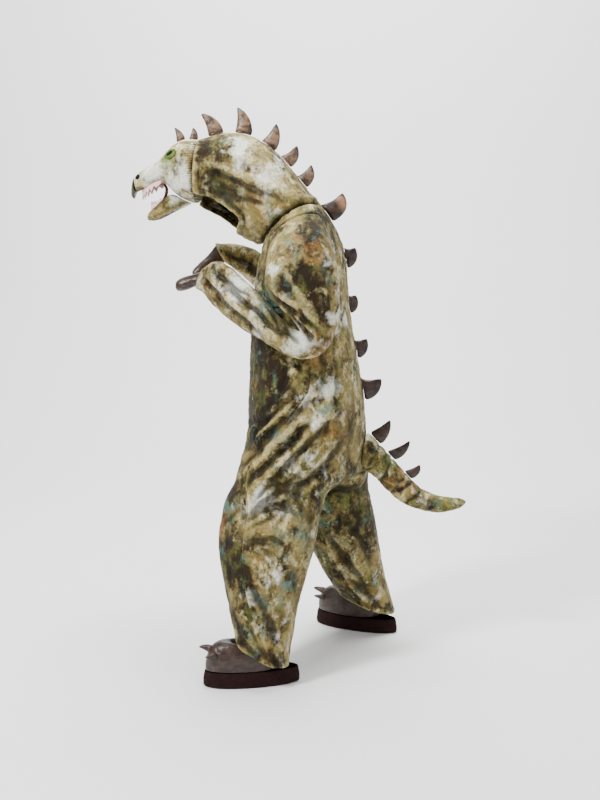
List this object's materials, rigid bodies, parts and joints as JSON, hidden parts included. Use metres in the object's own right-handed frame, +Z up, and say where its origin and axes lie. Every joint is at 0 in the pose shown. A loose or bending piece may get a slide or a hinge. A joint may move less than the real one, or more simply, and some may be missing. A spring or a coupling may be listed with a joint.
{
  "type": "dinosaur costume",
  "caption": "Plush dinosaur costume: hooded jumpsuit with stuffed head, open jaws, satin spikes, stuffed tail, mitts and clawed foot covers",
  "frame": {"origin": "between the shoulders, inside the suit, where the wearer carries it", "axes": "+Z up, -Y the way the head looks, +X the wearer's left"},
  "size_m": [0.6906, 1.086, 1.784],
  "materials": {
    "plush": "crushed plush, mottled olive, brown, cream and teal",
    "plush_pale": "crushed plush, mottled cream, tan and green",
    "brown_satin": "shiny brown satin, stuffed",
    "dark_sole": "matt dark brown felt",
    "beak_cloth": "olive grey satin",
    "tooth_felt": "white felt",
    "red_lining": "red satin lining",
    "eye_felt": "green felt",
    "black_felt": "black felt"
  },
  "bodies": {
    "root": {"back_left": "plush", "back_right": "plush", "beak_tip": "beak_cloth", "claw_left_inner": "brown_satin", "claw_left_middle": "brown_satin", "claw_left_outer": "brown_satin", "claw_right_inner": "brown_satin", "claw_right_middle": "brown_satin", "claw_right_outer": "brown_satin", "crest_band": "plush", "eye_left": "eye_felt", "eye_right": "eye_felt", "foot_cover_left": "brown_satin", "foot_cover_right": "brown_satin", "front_left": "plush", "front_right": "plush", "head": "plush_pale", "hood_left": "plush", "hood_right": "plush", "lower_jaw": "plush", "mitt_left": "brown_satin", "mitt_right": "brown_satin", "mouth_lining": "red_lining", "nostril_left": "black_felt", "nostril_right": "black_felt", "placket": "plush", "pupil_left": "black_felt", "pupil_right": "black_felt", "sleeve_left": "plush", "sleeve_right": "plush", "sole_left": "dark_sole", "sole_right": "dark_sole", "spike_01": "brown_satin", "spike_02": "brown_satin", "spike_03": "brown_satin", "spike_04": "brown_satin", "spike_05": "brown_satin", "spike_06": "brown_satin", "spike_07": "brown_satin", "spike_08": "brown_satin", "spike_09": "brown_satin", "spike_10": "brown_satin", "spike_11": "brown_satin", "spike_12": "brown_satin", "spike_13": "brown_satin", "spike_brow": "brown_satin", "spike_crown": "brown_satin", "tail": "plush", "teeth_lower": "tooth_felt", "teeth_upper": "tooth_felt"}
  },
  "joints": []
}
